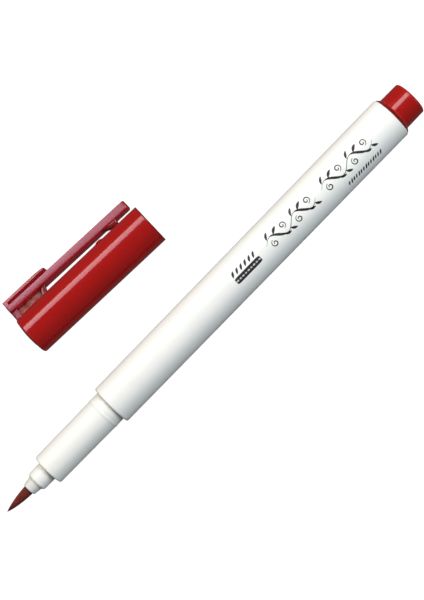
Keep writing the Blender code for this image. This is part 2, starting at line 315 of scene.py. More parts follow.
def scratches(look, scale, stretch):
    """Hair-thin marks: 1 on a mark and 0 elsewhere."""
    lines = look.noise(scale, stretch, detail=3.0, distortion=0.4)
    off_line = look.maths("ABSOLUTE", look.maths("SUBTRACT", lines, 0.5), 0.0)
    return look.ranged(off_line, 0.0, 0.012, 1.0, 0.0)


def moulded_plastic(name, colour, tint, worn, roughness, grain=0.003 * MM, glow=0.0, clouds=90.0,
                    on_cad_node=False):
    """Injection-moulded plastic: uneven pigment, flow lines, fine skin, rubbed edges, light scratches.

    The pigment clouds from colour to tint, and rubbed edges turn to worn. Grain is the depth of the skin,
    glow the share of light that passes under the surface.
    """
    look = Look(name, colour, roughness, on_cad_node)
    look.shader.inputs["Subsurface Weight"].default_value = glow
    look.shader.inputs["Subsurface Radius"].default_value = (1.0, 0.12, 0.15)
    look.shader.inputs["Subsurface Scale"].default_value = 3.0 * MM
    cloud = look.ranged(look.noise(clouds, detail=3.0), 0.35, 0.65)
    flow = look.noise(420.0, (1.0, 1.0, 0.09), detail=3.0)
    hairs = scratches(look, 700.0, (1.0, 1.0, 0.06))
    marks = look.maths("MULTIPLY", hairs, look.ranged(look.noise(160.0), 0.5, 0.7))
    base = look.mix(cloud, colour, tint)
    if not on_cad_node:
        edge = look.attribute("wear").outputs["Fac"]
        rubbed = look.maths("MULTIPLY", edge, look.ranged(look.noise(1500.0, detail=4.0), 0.42, 0.75))
        base = look.mix(rubbed, base, worn)
    look.colour(base)
    uneven = look.ranged(flow, 0.3, 0.7, 0.9 * roughness, 1.1 * roughness)
    look.roughness(look.maths("ADD", uneven, look.maths("MULTIPLY", marks, 0.33 * roughness)))
    look.bump(look.noise(5200.0, detail=3.0), grain)
    look.bump(flow, grain)
    look.bump(marks, -grain * 0.5)
    return look


def clip_plastic(name, colour, tint, inner=None):
    """The clip's red: thin enough for light to pass, with a cool shine. inner is painted light: a lighter
    red on its inner face, for light that comes through the strip.
    """
    look = moulded_plastic(name, colour, tint, (0.22, 0.010, 0.015), 0.27, GLOSSY_GRAIN, glow=0.7)
    look.shader.inputs["Specular IOR Level"].default_value = 0.8
    look.shader.inputs["Specular Tint"].default_value = (0.92, 0.88, 1.0, 1.0)
    # painted light: a lighter red over the inner face and the foot of the sides, for light coming through
    # the strip
    if inner:
        lean = (CLIP_INNER[0] - CLIP_INNER[1]) / CLIP_END
        out = look.place_part("X")
        height = look.maths("ADD", out, look.maths("MULTIPLY", look.place_part("Z"), lean))
        face = CLIP_INNER[0]
        look.overlay(look.ranged(height, face, face + PAINTED_LIGHT_DEPTH, 1.0, 0.0), inner)
    return look


def painted_shade_ring(look, start, end, share):
    """Paints shade on a turned red piece: darkens it between two stations, with soft ends."""
    along = look.place_part("Z")
    begun = look.ranged(along, start - RING_BLUR, start + RING_BLUR, 0.0, share)
    ended = look.ranged(along, end - RING_BLUR, end + RING_BLUR, 1.0, 0.0)
    look.overlay(look.maths("MULTIPLY", begun, ended), PAINTED_SHADE_RED)


def fibre_nib(name):
    """Bonded fibre soaked with dark red ink: matt, streaked along the nib, darker at its tip, with painted
    shadow at its base by the holder.
    """
    look = Look(name, (0.13, 0.02, 0.015), 0.7)
    look.shader.inputs["Specular IOR Level"].default_value = 0.3
    streaks = look.noise(5200.0, (1.0, 1.0, 0.07), detail=4.0)
    blotch = look.ranged(look.noise(900.0, (1.0, 1.0, 0.4)), 0.4, 0.62)
    wet = look.mix(look.ranged(streaks, 0.38, 0.60), (0.070, 0.009, 0.007), (0.21, 0.028, 0.020))
    along = look.place_part("Z")
    tip = look.ranged(along, NIB_TIP, 3.0 * MM, 0.9, 0.0)
    # painted shadow: the nib darkens where it goes into the holder
    base = look.ranged(along, NIB_END - 0.45 * MM, NIB_END, 0.0, 0.6)
    dark = look.maths("MAXIMUM", tip, base)
    body = look.mix(blotch, wet, (0.12, 0.022, 0.017))
    look.colour(look.mix(dark, body, (0.040, 0.010, 0.010)))
    look.roughness(look.ranged(streaks, 0.3, 0.7, 0.55, 0.85))
    look.bump(streaks, 0.03 * MM)
    look.bump(look.noise(16000.0), 0.006 * MM)
    return look


def bundled_fibre(name):
    """The reservoir's bonded fibres."""
    look = Look(name, (0.3, 0.02, 0.03), 0.9, on_cad_node=True)
    strands = look.noise(3000.0, (0.05, 1.0, 1.0), detail=4.0)
    look.colour(look.mix(look.ranged(strands, 0.35, 0.65), (0.22, 0.012, 0.02), (0.42, 0.05, 0.06)))
    look.roughness(look.ranged(strands, 0.3, 0.7, 0.8, 0.98))
    look.bump(strands, 0.08 * MM)
    return look


def clear_film(name):
    """The thin wrapping of the reservoir, with lengthwise creases."""
    look = Look(name, (0.86, 0.86, 0.86), 0.2, on_cad_node=True)
    creases = look.noise(900.0, (0.08, 1.0, 1.0), detail=3.0)
    look.colour(look.mix(look.ranged(creases, 0.4, 0.6), (0.82, 0.80, 0.80), (0.90, 0.89, 0.88)))
    look.roughness(look.ranged(creases, 0.3, 0.7, 0.15, 0.35))
    look.bump(creases, 0.03 * MM)
    return look


def printing_ink(name, colour, thin):
    """Pad-printed ink: slightly uneven cover, duller than the barrel under it."""
    look = Look(name, colour, 0.5)
    cover = look.noise(2600.0, detail=4.0)
    look.colour(look.mix(look.ranged(cover, 0.45, 0.8), colour, thin))
    look.roughness(look.ranged(cover, 0.3, 0.7, 0.42, 0.6))
    look.bump(cover, 0.004 * MM)
    return look


looks = {
    "barrel": moulded_plastic(
        "barrel_plastic", WHITE, tint=(0.78, 0.785, 0.775), worn=(0.70, 0.69, 0.67), roughness=0.36
    ),
    "section": moulded_plastic(
        "section_plastic", WHITE, tint=(0.78, 0.785, 0.765), worn=(0.70, 0.69, 0.66), roughness=0.4
    ),
    "holder": moulded_plastic(
        "holder_plastic", (0.70, 0.70, 0.685), tint=(0.65, 0.65, 0.64), worn=(0.54, 0.52, 0.50),
        roughness=0.45
    ),
    "cap": moulded_plastic(
        "cap_plastic", RED, tint=RED_TINT, worn=(0.36, 0.02, 0.018), roughness=0.13, grain=POLISHED_GRAIN
    ),
    # painted light: the clip's inner face gets a lighter red
    "clip": clip_plastic(
        "clip_plastic", (0.24, 0.0050, 0.0090), tint=(0.225, 0.0048, 0.0090), inner=(0.40, 0.007, 0.014)
    ),
    "clip_root": clip_plastic(
        "clip_root_plastic", (0.18, 0.0048, 0.0080), tint=(0.165, 0.0045, 0.0080)
    ),
    # painted shade: a darker copy of the clip's red, for the brace and the ridge in the strip's shade
    "painted_shade_clip": moulded_plastic(
        "shaded_clip_plastic", (0.16, 0.0045, 0.006), tint=(0.14, 0.004, 0.005), worn=(0.26, 0.02, 0.02),
        roughness=0.16, grain=GLOSSY_GRAIN
    ),
    # painted light: a pale, washed-out copy of the clip's red, for the thin web where it shows lit
    "web": moulded_plastic(
        "painted_light_web_plastic", (0.46, 0.15, 0.12), tint=(0.22, 0.045, 0.04), worn=(0.45, 0.15, 0.13),
        roughness=0.5, grain=0.01 * MM, clouds=900.0
    ),
    "plug": moulded_plastic(
        "plug_plastic", RED, tint=RED_TINT, worn=(0.36, 0.03, 0.025), roughness=0.13, grain=POLISHED_GRAIN
    ),
    "liner": moulded_plastic(
        "liner_plastic", (0.72, 0.72, 0.7), tint=(0.68, 0.68, 0.66), worn=WHITE, roughness=0.5,
        on_cad_node=True
    ),
    "nib": fibre_nib("nib_fibre"),
    "ink": printing_ink("printing_ink", (0.012, 0.012, 0.014), (0.055, 0.055, 0.06)),
    "pale_ink": printing_ink("pale_printing_ink", (0.55, 0.55, 0.56), (0.40, 0.40, 0.41)),
    "reservoir": bundled_fibre("reservoir_fibre"),
    "film": clear_film("reservoir_film_look"),
}
painted_shade_ring(looks["cap"], CAP_LENGTH - 0.26 * MM, CAP_LENGTH + 1.0 * MM, 0.85)  # painted shade: the mouth's lip, dark where the shaded inside of the cap shows
painted_shade_ring(looks["plug"], BARREL_END - 0.1 * MM, BARREL_END + 0.75 * MM, 0.6)  # painted shade: the flared foot, darker in the corner against the barrel's rim


# ---------------------------------------------------------------- mesh tools


def rounded(corners):
    """Points (a, b, wear) from corners (a, b), (a, b, fillet radius) or (a, b, fillet radius, wear)."""
    points = []
    for i, corner in enumerate(corners):
        point = Vector(corner[:2])
        if len(corner) == 2:
            points.append((*point, 0.0))
            continue
        radius = corner[2]
        worn = corner[3] if len(corner) > 3 else 1.0
        to_before = (Vector(corners[i - 1][:2]) - point).normalized()
        to_after = (Vector(corners[(i + 1) % len(corners)][:2]) - point).normalized()
        half = to_before.angle(to_after) / 2
        centre = point + (to_before + to_after).normalized() * radius / math.sin(half)
        first = point + to_before * radius / math.tan(half) - centre
        last = point + to_after * radius / math.tan(half) - centre
        for step in range(FILLET_STEPS + 1):
            points.append((*(centre + radius * first.slerp(last, step / FILLET_STEPS)), worn))
    return points


def divided(points):
    """The same outline with more points on its long stretches, so that wear stays near the edges."""
    made = [points[0]]
    for before, after in zip(points, points[1:]):
        start, end = Vector(before[:2]), Vector(after[:2])
        length = (end - start).length
        if length > 3 * WEAR_REACH:
            count = max(1, math.ceil((length - 2 * WEAR_REACH) / STRETCH))
            for step in range(count + 1):
                share = (WEAR_REACH + (length - 2 * WEAR_REACH) * step / count) / length
                made.append((*start.lerp(end, share), 0.0))
        made.append(after)
    return made


def finished(name, shape, matrix, look, sharp=32.0):
    """Turns a bmesh, drawn in an axis frame, into an object. The material reads places in that frame."""
    bmesh.ops.recalc_face_normals(shape, faces=shape.faces)
    mesh = bpy.data.meshes.new(name)
    shape.to_mesh(mesh)
    shape.free()
    place = mesh.attributes.new("place", "FLOAT_VECTOR", "POINT")
    for vertex, item in zip(mesh.vertices, place.data):
        item.vector = vertex.co
    mesh.transform(matrix)
    mesh.materials.append(look.material)
    mesh.shade_smooth()
    mesh.set_sharp_from_angle(angle=math.radians(sharp))
    made = bpy.data.objects.new(name, mesh)
    bpy.context.scene.collection.objects.link(made)
    return made


def ring_faces(shape, rings, wrap=True):
    """Faces between neighbouring rings of vertices. A ring of one vertex makes a fan."""
    for first, second in zip(rings, rings[1:]):
        count = max(len(first), len(second))
        for i in range(count if wrap else count - 1):
            j = (i + 1) % count
            corners = [first[i % len(first)], first[j % len(first)]]
            corners += [second[j % len(second)], second[i % len(second)]]
            unique = list(dict.fromkeys(corners))
            if len(unique) > 2:
                shape.faces.new(unique)


def close_grids(shape, top, bottom):
    """Faces over two grids of vertices that have the same rows, and round the gap between them."""
    rims = []
    for rows in (top, bottom):
        ring_faces(shape, rows, wrap=False)
        right, left = [row[-1] for row in rows[1:-1]], [row[0] for row in rows[-2:0:-1]]
        rims.append(rows[0] + right + rows[-1][::-1] + left)
    ring_faces(shape, rims)


def turned(name, corners, matrix, look, around=AROUND, ripple=None):
    """A turned piece from its outline (z, r). ripple(z, angle) gives a share to add to the radius."""
    outline = rounded(corners)
    closed = corners[0][1] > 0.0
    if closed:
        outline.append(outline[0])
    outline = divided(outline)
    if closed:
        outline.pop()
    shape = bmesh.new()
    wear = shape.verts.layers.float.new("wear")
    rings = []
    for z, r, worn in outline:
        ring = []
        for i in range(around if r else 1):
            angle = math.tau * i / around
            radius = r * (1.0 + ripple(z, angle)) if ripple else r
            vertex = shape.verts.new((radius * math.cos(angle), radius * math.sin(angle), z))
            vertex[wear] = worn
            ring.append(vertex)
        rings.append(ring)
    if closed:
        rings.append(rings[0])
    ring_faces(shape, rings)
    return finished(name, shape, matrix, look)


def loft(shape, sections):
    """Adds a closed body through sections (z, [(x, y, wear), ...]) to a bmesh."""
    wear = shape.verts.layers.float.get("wear") or shape.verts.layers.float.new("wear")
    rings = []
    for z, points in sections:
        ring = []
        for x, y, worn in points:
            vertex = shape.verts.new((x, y, z))
            vertex[wear] = worn
            ring.append(vertex)
        rings.append(ring)
    ring_faces(shape, rings)
    shape.faces.new(rings[0])
    shape.faces.new(rings[-1])


def along_clip(pair, z):
    return pair[0] + (pair[1] - pair[0]) * z / CLIP_END


def end_inset(z, start, end, radius_start, radius_end):
    """How far a section draws in near a body's rounded ends."""
    for gap, radius in ((z - start, radius_start), (end - z, radius_end)):
        if gap < radius:
            return radius - math.sqrt(max(0.0, radius * radius - (radius - gap) ** 2))
    return 0.0


def loft_stations(start, end, radius_start, radius_end, step):
    """Stations of a loft, close together in its rounded ends."""
    turns = [1.0 - math.cos(math.pi / 2 * i / FILLET_STEPS) for i in range(FILLET_STEPS + 1)]
    made = [start + radius_start * turn for turn in turns]
    inner_start, inner_end = start + radius_start, end - radius_end
    count = math.ceil((inner_end - inner_start) / step)
    made += [inner_start + (inner_end - inner_start) * i / count for i in range(1, count)]
    return made + [end - radius_end * turn for turn in reversed(turns)]


# ---------------------------------------------------------------- the pen


def make_barrel():
    """The barrel, slightly wider at its tail, with softened ends."""
    corners = [
        (BARREL_START, BARREL_BORE_R),
        (BARREL_START, BARREL_FRONT_R, 0.38 * MM),
        (BARREL_END, BARREL_REAR_R, 0.26 * MM),
        (BARREL_END, BARREL_BORE_R),
    ]
    piece = turned("barrel_tube", corners, PEN, looks["barrel"])
    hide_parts("barrel")
    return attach(piece, "pen")


def make_section():
    """The front section: chamfered nose, step, seat for the cap with a snap ring, and spigot."""
    nose_bore = HOLDER_REAR_R + 0.06 * MM
    shoulder = SECTION_START + 1.2 * MM  # the wide bore starts here
    ring = BARREL_START - SNAP_RING_BACK
    ring_foot, ring_crest = 0.5 * MM, 0.1 * MM  # half lengths
    socket = BARREL_START + 0.05 * MM
    corners = [
        (NOSE_START, nose_bore),
        (NOSE_START, nose_bore + 0.12 * MM, 0.05 * MM),
        (NOSE_START + 0.5 * MM, NOSE_R - 0.06 * MM, 0.2 * MM),
        (SECTION_START - 0.12 * MM, NOSE_R),
        (SECTION_START, NOSE_R + 0.12 * MM),
        (SECTION_START, SECTION_FRONT_R, 0.28 * MM),
        (ring - ring_foot, SECTION_REAR_R - 0.01 * MM, 0.4 * MM, 0.0),
        (ring - ring_crest, SNAP_RING_R, 0.15 * MM, 0.2),
        (ring + ring_crest, SNAP_RING_R, 0.15 * MM, 0.2),
        (ring + ring_foot, SECTION_REAR_R, 0.4 * MM, 0.0),
        (socket, SECTION_REAR_R),
        (socket, SPIGOT_R),
        (SPIGOT_END, SPIGOT_R, 0.3 * MM),
        (SPIGOT_END, SECTION_BORE_R),
        (shoulder, SECTION_BORE_R),
        (shoulder, nose_bore),
    ]
    piece = turned("front_section_moulding", corners, PEN, looks["section"])
    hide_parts("front_section")
    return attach(piece, "pen")


def make_holder():
    """The tapered sleeve that grips the nib, with its flange inside the front section."""
    collar_end = NOSE_START + 0.1 * MM
    neck_r = HOLDER_REAR_R - 0.2 * MM
    flange_start = SECTION_START + 1.5 * MM
    flange_end = flange_start + 1.7 * MM
    corners = [
        (NIB_END + 0.15 * MM, HOLDER_BORE_R - 0.02 * MM),
        (NIB_END, HOLDER_BORE_R + 0.1 * MM, 0.04 * MM),
        (NIB_END, HOLDER_FRONT_R, 0.16 * MM),
        (collar_end, HOLDER_REAR_R),
        (collar_end, neck_r),
        (flange_start, neck_r),
        (flange_start, HOLDER_FLANGE_R),
        (flange_end, HOLDER_FLANGE_R),
        (flange_end, HOLDER_SLEEVE_R),
        (FEED_END, HOLDER_SLEEVE_R),
        (FEED_END, HOLDER_BORE_R),
    ]
    piece = turned("nib_holder_sleeve", corners, PEN, looks["holder"], around=96)
    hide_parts("nib_holder")
    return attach(piece, "pen")


def make_nib():
    """The pointed fibre tip, finely ridged along its length, and its core inside the holder."""
    root = NIB_END + 0.1 * MM  # just inside the holder
    rings = 36
    corners = [(NIB_TIP, 0.0)]
    for i in range(1, rings + 1):
        share = (i / rings) ** 1.5  # rings are closer together near the tip
        radius = NIB_R * (1.0 - (1.0 - share) ** NIB_FULLNESS) ** NIB_BLUNTNESS
        corners.append((NIB_TIP + share * (root - NIB_TIP), radius))
    corners += [(root + 0.2 * MM, NIB_CORE_R), (FEED_END, NIB_CORE_R), (FEED_END, 0.0)]

    def ripple(z, angle):
        """Three sets of ridges, two of them winding, that fade out towards the tip."""
        strength = 0.016 * min(1.0, (z - NIB_TIP) / (1.5 * MM))
        straight = math.sin(31 * angle)
        winding = 0.6 * math.sin(47 * angle + 900 * z) + 0.5 * math.sin(19 * angle - 500 * z)
        return strength * (straight + winding) / 2

    piece = turned("nib_tip", corners, PEN, looks["nib"], around=192, ripple=ripple)
    piece.data.set_sharp_from_angle(angle=math.radians(60))
    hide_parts("brush_nib")
    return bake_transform(piece)


def make_plug():
    """The tail plug: dimpled end with a rounded edge, flared foot on the barrel's rim, hollow spigot."""
    end = PEN_LENGTH - 0.22 * MM
    dimple = end - 0.15 * MM
    end_wall = end - 1.5 * MM
    foot = BARREL_END + 0.03 * MM
    step = PLUG_START + 4.3 * MM  # in the bore
    corners = [
        (dimple, 0.0),
        (dimple, 0.9 * MM, 0.1 * MM),
        (end, 1.1 * MM, 0.1 * MM),
        (end, PLUG_R - 0.55 * MM, 0.4 * MM),
        (end - 0.3 * MM, PLUG_R - 0.02 * MM, 0.35 * MM),
        (foot + 0.95 * MM, PLUG_R + 0.04 * MM, 0.25 * MM),
        (foot + 0.25 * MM, PLUG_FLANGE_R - 0.06 * MM, 0.1 * MM),
        (foot, PLUG_FLANGE_R, 0.06 * MM),
        (foot, SPIGOT_R),
        (PLUG_START, SPIGOT_R, 0.3 * MM),
        (PLUG_START, SECTION_BORE_R),
        (step, SECTION_BORE_R),
        (step, SECTION_BORE_R - PLUG_WALL),
        (end_wall, SECTION_BORE_R - PLUG_WALL),
        (end_wall, 0.0),
    ]
    piece = turned("tail_plug_moulding", corners, PEN, looks["plug"])
    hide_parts("tail_plug")
    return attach(piece, "pen")


# ---------------------------------------------------------------- the printed ornament

# A line is an arc length round the barrel from its top
INK_RISE = 0.012 * MM  # above the barrel's face
INK_ROOT = 0.05 * MM  # below it
INK_ACROSS = 6  # faces across a stroke
PRINT_START = 77.7 * MM
BAR_LENGTH = 8.2 * MM
BAR_LINE = -1.05 * MM
BAR_HALF_WIDTH = 0.82 * MM
BAR_STEPS = 24
BAR_LEAVES = 6
LOZENGES = 9
SCROLLS = ((88.8 * MM, 105.2 * MM), (107.4 * MM, 124.4 * MM))
SCROLL_WAVES = 2
STEM_LINE = -0.3 * MM
STEM_SWING = 1.2 * MM
MARKS = 14
MARKS_LINE = -4.2 * MM
MARKS_LENGTH = 11.3 * MM
# Share of the wave, arc length from the top line, heading, length, half width and bend of each leaf
LEAVES = (
    (0.12, 0.7 * MM, 1.25, 2.1 * MM, 0.30 * MM, -0.7),
    (0.38, 0.6 * MM, 1.00, 2.2 * MM, 0.34 * MM, -0.8),
    (0.63, -1.2 * MM, -0.70, 1.9 * MM, 0.30 * MM, 0.8),
    (0.88, -1.1 * MM, -1.00, 1.9 * MM, 0.32 * MM, 0.9),
)
# Share of the wave, arc length and first angle of each tendril
TENDRILS = ((0.25, -1.1 * MM, 1.6), (0.75, 0.75 * MM, 4.7))


def barrel_radius(z):
    share = (z - BARREL_START) / (BARREL_END - BARREL_START)
    return BARREL_FRONT_R + (BARREL_REAR_R - BARREL_FRONT_R) * share


def stroke(shape, line, widths, rise=INK_RISE):
    """A printed stroke: centre points (station, arc length from the top line) and half widths."""
    layers = []
    for height in (rise, -INK_ROOT):
        rows = []
        for i, (point, width) in enumerate(zip(line, widths)):
            ahead = Vector(line[min(i + 1, len(line) - 1)]) - Vector(line[max(i - 1, 0)])
            across = Vector((-ahead.y, ahead.x)).normalized()
            row = []
            for k in range(INK_ACROSS + 1):
                z, arc = Vector(point) + across * width * (2 * k / INK_ACROSS - 1)
                radius = barrel_radius(z)
                angle = arc / radius
                radius += height
                row.append(shape.verts.new((radius * math.sin(angle), radius * math.cos(angle), z)))
            rows.append(row)
        layers.append(rows)
    close_grids(shape, *layers)


def leaf(shape, foot, heading, length, width, bend=0.0, rise=INK_RISE):
    """A leaf-shaped stroke from its foot along a heading, in radians from the pen's axis.

    It turns by bend on its way.
    """
    steps = 10
    line, widths = [], []
    point = Vector(foot)
    for i in range(steps + 1):
        share = i / steps
        line.append(tuple(point))
        widths.append(0.02 * MM + width * math.sin(math.pi * share) ** 0.8)
        turn = heading + bend * share
        point = point + Vector((math.cos(turn), math.sin(turn))) * length / steps
    stroke(shape, line, widths, rise)


def spiral(shape, centre, start_angle, turns, radius, width):
    """A tendril that curls inwards."""
    steps = 26
    line, widths = [], []
    for i in range(steps + 1):
        share = i / steps
        angle = start_angle + math.tau * turns * share
        reach = radius * (1.0 - 0.78 * share)
        line.append((centre[0] + reach * math.cos(angle), centre[1] + reach * math.sin(angle)))
        widths.append(width * (0.45 + 0.55 * math.sin(math.pi * share)))
    stroke(shape, line, widths)


def scroll(shape, start, end, waves):
    """A leafy scroll: a wavy stem, thick where it falls, with slanted leaves and curled tendrils."""
    wave = (end - start) / waves
    steps = 40 * waves
    stem, widths = [], []
    for i in range(steps + 1):
        z = start + (end - start) * i / steps
        phase = math.tau * (z - start) / wave
        stem.append((z, STEM_LINE + STEM_SWING * math.sin(phase)))
        fade = min(1.0, 8.0 * i / steps, 8.0 * (steps - i) / steps)
        widths.append((0.08 + 0.24 * max(0.0, -math.cos(phase))) * MM * (0.3 + 0.7 * fade))
    stroke(shape, stem, widths)
    for i in range(waves):
        foot = start + wave * i
        for share, arc, heading, length, width, bend in LEAVES:
            leaf(shape, (foot + share * wave, arc), heading, length, width, bend)
        for share, arc, begin in TENDRILS:
            spiral(shape, (foot + share * wave, arc), begin, 1.3, 0.95 * MM, 0.15 * MM)


def make_ornament():
    """A generic print: a bar with pale lozenges under a row of leaves, two scrolls, a row of marks."""
    shape = bmesh.new()
    steps = range(BAR_STEPS + 1)
    bar = [(PRINT_START + BAR_LENGTH * i / BAR_STEPS, BAR_LINE) for i in steps]
    ends = [min(1.0, 0.8 + i * 0.1, 0.8 + (BAR_STEPS - i) * 0.1) for i in steps]
    stroke(shape, bar, [BAR_HALF_WIDTH * end for end in ends])
    for i in range(BAR_LEAVES):
        middle = PRINT_START + BAR_LENGTH * (i + 0.5) / BAR_LEAVES
        leaf(shape, (middle - 0.50 * MM, 0.12 * MM), 1.15, 1.75 * MM, 0.27 * MM, -0.4)
    for scroll_start, scroll_end in SCROLLS:
        scroll(shape, scroll_start, scroll_end, SCROLL_WAVES)
    for i in range(MARKS):
        middle = SCROLLS[1][1] - MARKS_LENGTH * (i + 0.5) / MARKS
        height = (1.3 if i % 3 else 1.6) * MM
        leaf(shape, (middle - 0.3 * MM, MARKS_LINE - height / 2), 1.2, height, 0.2 * MM, -0.2)
    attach(finished("printed_ornament", shape, PEN, looks["ink"], 50.0), "pen")

    shape = bmesh.new()
    for i in range(LOZENGES):
        middle = PRINT_START + BAR_LENGTH * (i + 0.5) / LOZENGES
        size = (0.30 if i % 2 else 0.40) * MM
        leaf(shape, (middle - size, BAR_LINE), 0.0, 2 * size, 0.19 * MM, rise=2 * INK_RISE)
    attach(finished("printed_lozenges", shape, PEN, looks["pale_ink"], 50.0), "pen")


# ---------------------------------------------------------------- the cap and its clip


def make_cap_tube():
    """The cap's wall: crowned closed end, slightly flared side, bore with a groove for the snap ring."""
    crown_r = CAP_CLOSED_R - 0.42 * MM
    steps = 8
    turns = [math.pi / 2 * i / steps for i in range(steps)]
    crown = [(CAP_START - CAP_CROWN * math.cos(turn), crown_r * i / steps) for i, turn in enumerate(turns)]
    groove = CAP_LENGTH - SNAP_RING_BACK
    groove_half = 0.5 * MM
    corners = crown + [
        (CAP_START - 0.02 * MM, crown_r, 0.3 * MM),
        (CAP_START + 0.32 * MM, CAP_CLOSED_R, 0.3 * MM),
        (CAP_LENGTH, CAP_MOUTH_R, 0.16 * MM),
        (CAP_LENGTH, CAP_BORE_R + 0.15 * MM, 0.08 * MM),
        (CAP_LENGTH - 0.4 * MM, CAP_BORE_R),
        (groove + groove_half, CAP_BORE_R),
        (groove, CAP_BORE_R + 0.14 * MM, 0.3 * MM),
        (groove - groove_half, CAP_BORE_R),
        (CAP_END_WALL, CAP_BORE_R),
        (CAP_END_WALL, 0.0),
    ]
    piece = turned("cap_tube", corners, CAP, looks["cap"])
    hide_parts("cap_shell")
    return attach(piece, "cap")


def bar_section(z, inset):
    """The strip's section: rounded edges, and side faces that curve in towards the inner face."""
    half = along_clip(CLIP_HALF_WIDTH, z) - inset * 1.5
    inner = along_clip(CLIP_INNER, z) + inset * 0.8
    outer = along_clip(CLIP_OUTER, z) - inset * 0.8
    steps = [inner + (outer - inner) * i / 6 for i in range(1, 6)]
    corners = [(inner, -half, CLIP_EDGE), *((x, -half) for x in steps), (outer, -half, CLIP_EDGE)]
    corners += [(outer, half, CLIP_EDGE), *((x, half) for x in reversed(steps)), (inner, half, CLIP_EDGE)]
    points = []
    for x, y, worn in rounded(corners):
        drawn_in = 1.0 - CLIP_TAPER * ((outer - x) / (outer - inner)) ** 2
        points.append((x, y * drawn_in, worn))
    return points


def hump_section(z, inset):
    """A rim on a narrower neck. Its outer edges grow rounder towards the mouth."""
    share = max(0.0, z / HUMP_END)
    fall = max(0.0, 1.0 - (HUMP_END - z) / HUMP_FALL[0])
    top = HUMP_TOP - inset - HUMP_FALL[1] * (1.0 - math.sqrt(1.0 - fall * fall))
    rim_foot = HUMP_TOP - RIM_THICKNESS
    half = RIM_HALF_WIDTH - inset * 1.1
    widest_neck = half - 0.05 * MM
    at_wall = 1.0 - min(1.0, max(0.0, (z - HUMP_WALL_END) / (0.15 * MM)))
    neck = min(NECK_HALF_WIDTH + (widest_neck - NECK_HALF_WIDTH) * at_wall, widest_neck)
    neck_top = rim_foot - 0.65 * MM
    edge = min((0.06 + 0.40 * share * share) * MM, (top - rim_foot) * 0.7)
    small = 0.05 * MM
    base = CLIP_OUTER[1] - 0.3 * MM  # inside the strip
    return rounded(
        [
            (base, -neck),
            (neck_top, -neck, small),
            (rim_foot, -half, small),
            (top, -half, edge),
            (top, half, edge),
            (rim_foot, half, small),
            (neck_top, neck, small),
            (base, neck),
        ]
    )


def make_clip_strip():
    """The springy strip with the hump on its root, drawn as one moulding at rest; the real strip bends
    beyond the brace.
    """
    shape = bmesh.new()
    strip = (CLIP_START, CLIP_END, CLIP_EDGE, CLIP_END_ROUNDING)
    hump = (CLIP_START, HUMP_END, *HUMP_ROUNDING)
    for section, ends, step in ((bar_section, strip, 0.6 * MM), (hump_section, hump, 0.3 * MM)):
        loft(shape, [(z, section(z, end_inset(z, *ends))) for z in loft_stations(*ends, step)])
    piece = finished("clip_strip", shape, CAP, looks["clip"])
    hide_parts("clip")
    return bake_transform(piece)


def post(name, corners, half_width, flare, look, offset=0.0):
    """A slab across the clip that widens in a fillet, of radius flare, up to the strip's inner face.

    Its corners are (station, height), and offset moves it sideways.
    """
    shape = bmesh.new()
    shape.verts.layers.float.new("wear")
    rows = [[shape.verts.new((x, side * half_width, z)) for z, x in corners] for side in (-1, 1)]
    caps = [shape.faces.new(rows[0]), shape.faces.new(rows[1])]
    for i, corner in enumerate(rows[0]):
        shape.faces.new((corner, rows[0][i - 1], rows[1][i - 1], rows[1][i]))
    rims = [edge for face in caps for edge in face.edges]
    bmesh.ops.bevel(
        shape, geom=rims, offset=0.07 * MM, segments=3, profile=0.5, affect="EDGES", clamp_overlap=True
    )
    inner = CLIP_INNER[0]
    cuts = 8  # across the fillet, so that it has points to curve
    for i in range(cuts):
        height = inner - flare * (1.0 - math.cos(math.pi / 2 * i / cuts))
        geometry = shape.verts[:] + shape.edges[:] + shape.faces[:]
        bmesh.ops.bisect_plane(shape, geom=geometry, plane_co=(height, 0.0, 0.0), plane_no=(1.0, 0.0, 0.0))
    for vertex in shape.verts:
        gap = min(max(inner - vertex.co.x, 0.0), flare)
        vertex.co.y += math.copysign(flare - math.sqrt(flare * flare - (flare - gap) ** 2), vertex.co.y)
        vertex.co.y += offset
    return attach(finished(name, shape, CAP, look), "cap")


def make_clip_root():
    """End wall, thin web and leaning brace between the cap and the strip."""
    middle = (CLIP_OUTER[0] + CLIP_INNER[0]) / 2
    inside = CLIP_INNER[0] + 0.3 * MM
    wall = [
        (CLIP_START, ROOT_FOOT),
        (ROOT_WALL_END, ROOT_FOOT),
        (ROOT_WALL_END, middle),
        (CLIP_START, middle),
    ]
    brace = [
        (BRACE_FOOT[0] - 0.3 * MM, ROOT_FOOT),
        (BRACE_FOOT[1] - 0.2 * MM, ROOT_FOOT),
        (BRACE_TOP[1] + 0.1 * MM, inside),
        (BRACE_TOP[0] + 0.1 * MM, inside),
    ]
    web = [
        (ROOT_WALL_END - 0.3 * MM, ROOT_FOOT),
        (BRACE_FOOT[0] + 0.6 * MM, ROOT_FOOT),
        (BRACE_TOP[0] + 0.6 * MM, inside),
        (ROOT_WALL_END - 0.3 * MM, inside),
    ]
    post("clip_end_wall", wall, ROOT_WALL_HALF_WIDTH, 0.4 * MM, looks["clip_root"])
    post("clip_brace", brace, BRACE_HALF_WIDTH, 0.25 * MM, looks["painted_shade_clip"])
    post("clip_web", web, WEB_HALF_WIDTH, 0.08 * MM, looks["web"], WEB_OFFSET)


def blister(name, start, end, half_width, height_at, look, body):
    """A low moulded swelling between two stations, closed below.

    height_at gives its top and foot from the station, the share along it (0 to 1) and across it (-1 to 1).
    """
    rows, columns = 28, 16
    shape = bmesh.new()
    shape.verts.layers.float.new("wear")
    top, foot = [], []
    for i in range(rows + 1):
        u = i / rows
        z = start + (end - start) * u
        top.append([])
        foot.append([])
        for k in range(columns + 1):
            v = 2 * k / columns - 1
            y = half_width * v
            x_top, x_foot = height_at(z, u, v)
            top[-1].append(shape.verts.new((x_top, y, z)))
            foot[-1].append(shape.verts.new((x_foot, y, z)))
    close_grids(shape, top, foot)
    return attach(finished(name, shape, CAP, look, 50.0), body)


